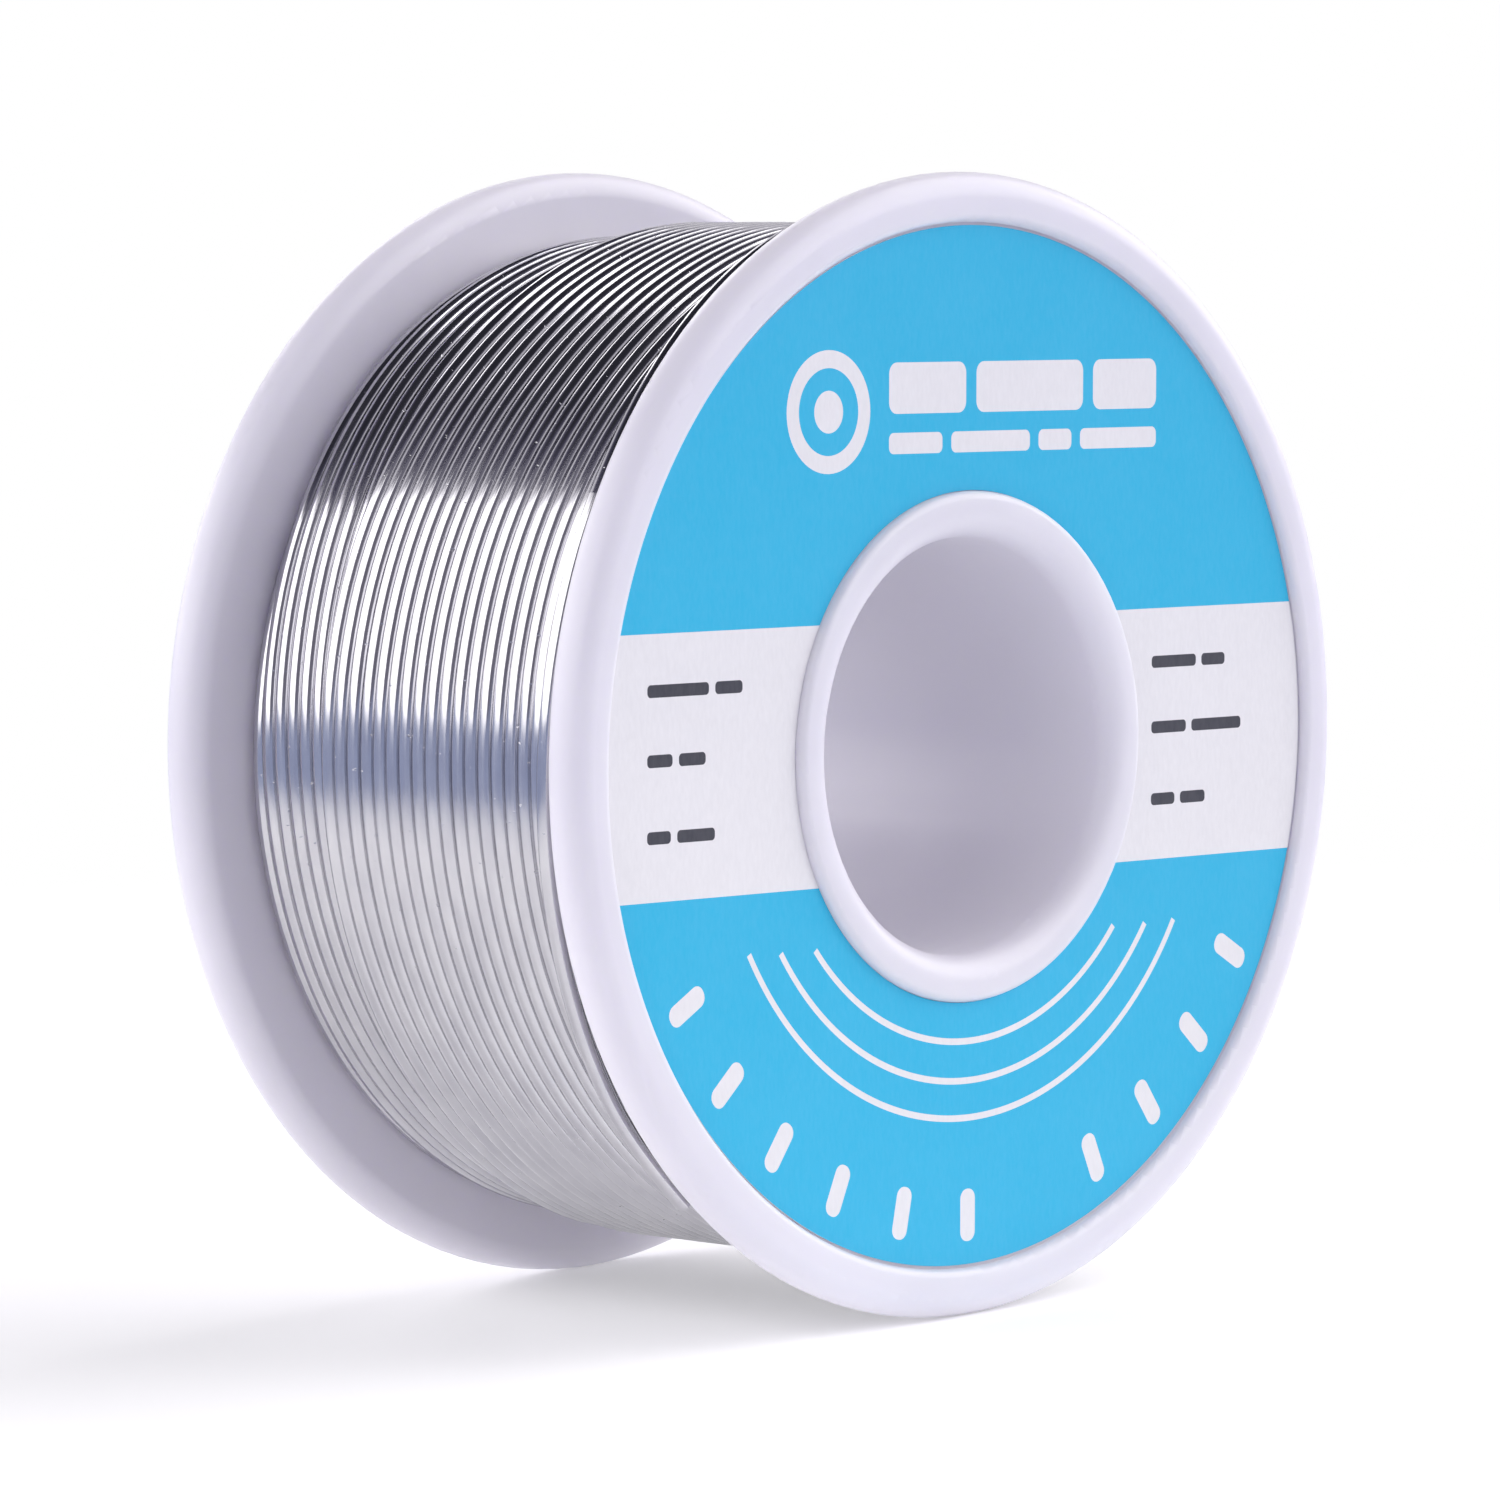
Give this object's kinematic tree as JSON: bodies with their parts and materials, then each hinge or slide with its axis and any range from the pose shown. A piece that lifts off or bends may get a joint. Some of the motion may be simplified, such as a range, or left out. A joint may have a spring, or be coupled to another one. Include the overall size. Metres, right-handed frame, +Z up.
{
  "type": "solder wire spool",
  "caption": "Moulded plastic reel with bullnosed rims, a round through bore and a paper front label, wound with fine solder wire whose loose end lies by the front flange.",
  "frame": {"origin": "middle of the reel on its axis", "axes": "+Y along the reel's axis away from the labelled front face, +Z up with the reel standing on its rims"},
  "size_m": [0.052, 0.0264, 0.052],
  "materials": {
    "white_plastic": "glossy, slightly translucent white moulding",
    "label_paper": "coated print, blue with a white band",
    "solder_alloy": "bright drawn tin-lead alloy",
    "flux": "amber rosin"
  },
  "bodies": {
    "reel": {"front_half": "white_plastic", "rear_half": "white_plastic", "front_label": "label_paper", "solder_lower_layers": "solder_alloy", "solder_top_layer": "solder_alloy", "solder_inner_end": "solder_alloy", "solder_crossing": "solder_alloy"},
    "wire_end": {"solder_loose_end": "solder_alloy", "flux_core": "flux"}
  },
  "joints": [
    {"name": "wire_end_lift", "type": "hinge", "parent": "reel", "child": "wire_end", "pos_m": [-0.021, -0.0099, 0.01213], "axis": [0, 1, 0], "range_deg": [0, 75]}
  ]
}
